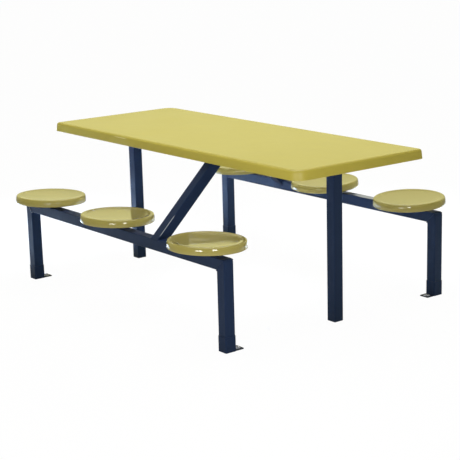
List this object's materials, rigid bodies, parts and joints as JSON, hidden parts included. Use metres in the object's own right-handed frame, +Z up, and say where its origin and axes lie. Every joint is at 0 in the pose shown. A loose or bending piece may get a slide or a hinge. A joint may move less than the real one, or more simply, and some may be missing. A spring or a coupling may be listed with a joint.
{
  "type": "table with attached swivel seats",
  "caption": "Long canteen table with a moulded top on posts and round swivel seats on low steel frames braced to it along both sides.",
  "frame": {"origin": "on the floor under the middle of the table top", "axes": "+X along the table, +Y across it towards the rear row of seats, +Z up"},
  "size_m": [1.92, 1.5408, 0.75],
  "materials": {
    "top_gelcoat": "pale yellow moulded glass fibre with a smooth gel coat",
    "seat_gelcoat": "olive yellow moulded glass fibre with a glossy gel coat",
    "navy_paint": "navy powder coat, semi-gloss",
    "foot_plastic": "dark blue-black moulded plastic",
    "zinc_steel": "zinc-plated steel",
    "board_wood": "plain board, sealed",
    "bronze": "turned bearing bronze",
    "slip_plastic": "off-white bearing plastic"
  },
  "bodies": {
    "frame": {"tabletop_shell": "top_gelcoat", "long_rail_front": "navy_paint", "long_rail_rear": "navy_paint", "cross_rail_left_post": "navy_paint", "cross_rail_rear_brace": "navy_paint", "cross_rail_front_brace": "navy_paint", "cross_rail_right_post": "navy_paint", "post_left": "navy_paint", "post_right": "navy_paint", "brace_front": "navy_paint", "brace_rear": "navy_paint", "seat_beam_front": "navy_paint", "seat_beam_rear": "navy_paint", "seat_leg_front_left": "navy_paint", "seat_leg_front_right": "navy_paint", "seat_leg_rear_left": "navy_paint", "seat_leg_rear_right": "navy_paint", "swivel_base_front_left": "navy_paint", "swivel_base_front_middle": "navy_paint", "swivel_base_front_right": "navy_paint", "swivel_base_rear_left": "navy_paint", "swivel_base_rear_middle": "navy_paint", "swivel_base_rear_right": "navy_paint", "foot_sleeves": "foot_plastic", "post_plugs": "foot_plastic", "anchor_plate_front_left": "zinc_steel", "anchor_plate_front_right": "zinc_steel", "anchor_plate_rear_left": "zinc_steel", "anchor_plate_rear_right": "zinc_steel", "tabletop_screws": "zinc_steel", "pivot_washers": "zinc_steel", "pivot_nuts": "zinc_steel", "tabletop_board": "board_wood", "pivot_sleeves": "bronze", "slip_rings": "slip_plastic"},
    "seat_front_left": {"seat_shell_front_left": "seat_gelcoat", "seat_block_front_left": "board_wood", "seat_carrier_front_left": "zinc_steel", "seat_screws_front_left": "zinc_steel"},
    "seat_front_middle": {"seat_shell_front_middle": "seat_gelcoat", "seat_block_front_middle": "board_wood", "seat_carrier_front_middle": "zinc_steel", "seat_screws_front_middle": "zinc_steel"},
    "seat_front_right": {"seat_shell_front_right": "seat_gelcoat", "seat_block_front_right": "board_wood", "seat_carrier_front_right": "zinc_steel", "seat_screws_front_right": "zinc_steel"},
    "seat_rear_left": {"seat_shell_rear_left": "seat_gelcoat", "seat_block_rear_left": "board_wood", "seat_carrier_rear_left": "zinc_steel", "seat_screws_rear_left": "zinc_steel"},
    "seat_rear_middle": {"seat_shell_rear_middle": "seat_gelcoat", "seat_block_rear_middle": "board_wood", "seat_carrier_rear_middle": "zinc_steel", "seat_screws_rear_middle": "zinc_steel"},
    "seat_rear_right": {"seat_shell_rear_right": "seat_gelcoat", "seat_block_rear_right": "board_wood", "seat_carrier_rear_right": "zinc_steel", "seat_screws_rear_right": "zinc_steel"}
  },
  "joints": [
    {"name": "swivel_front_left", "type": "hinge", "parent": "frame", "child": "seat_front_left", "pos_m": [-0.6395, -0.5995, 0.41309], "axis": [0, 0.0384, 0.9993], "continuous": true},
    {"name": "swivel_front_middle", "type": "hinge", "parent": "frame", "child": "seat_front_middle", "pos_m": [-0.044, -0.5995, 0.41309], "axis": [0, 0.0384, 0.9993], "continuous": true},
    {"name": "swivel_front_right", "type": "hinge", "parent": "frame", "child": "seat_front_right", "pos_m": [0.6395, -0.5995, 0.41309], "axis": [0, 0.0384, 0.9993], "continuous": true},
    {"name": "swivel_rear_left", "type": "hinge", "parent": "frame", "child": "seat_rear_left", "pos_m": [-0.6395, 0.5995, 0.41309], "axis": [0, -0.0384, 0.9993], "continuous": true},
    {"name": "swivel_rear_middle", "type": "hinge", "parent": "frame", "child": "seat_rear_middle", "pos_m": [0.044, 0.5995, 0.41309], "axis": [0, -0.0384, 0.9993], "continuous": true},
    {"name": "swivel_rear_right", "type": "hinge", "parent": "frame", "child": "seat_rear_right", "pos_m": [0.6395, 0.5995, 0.41309], "axis": [0, -0.0384, 0.9993], "continuous": true}
  ]
}
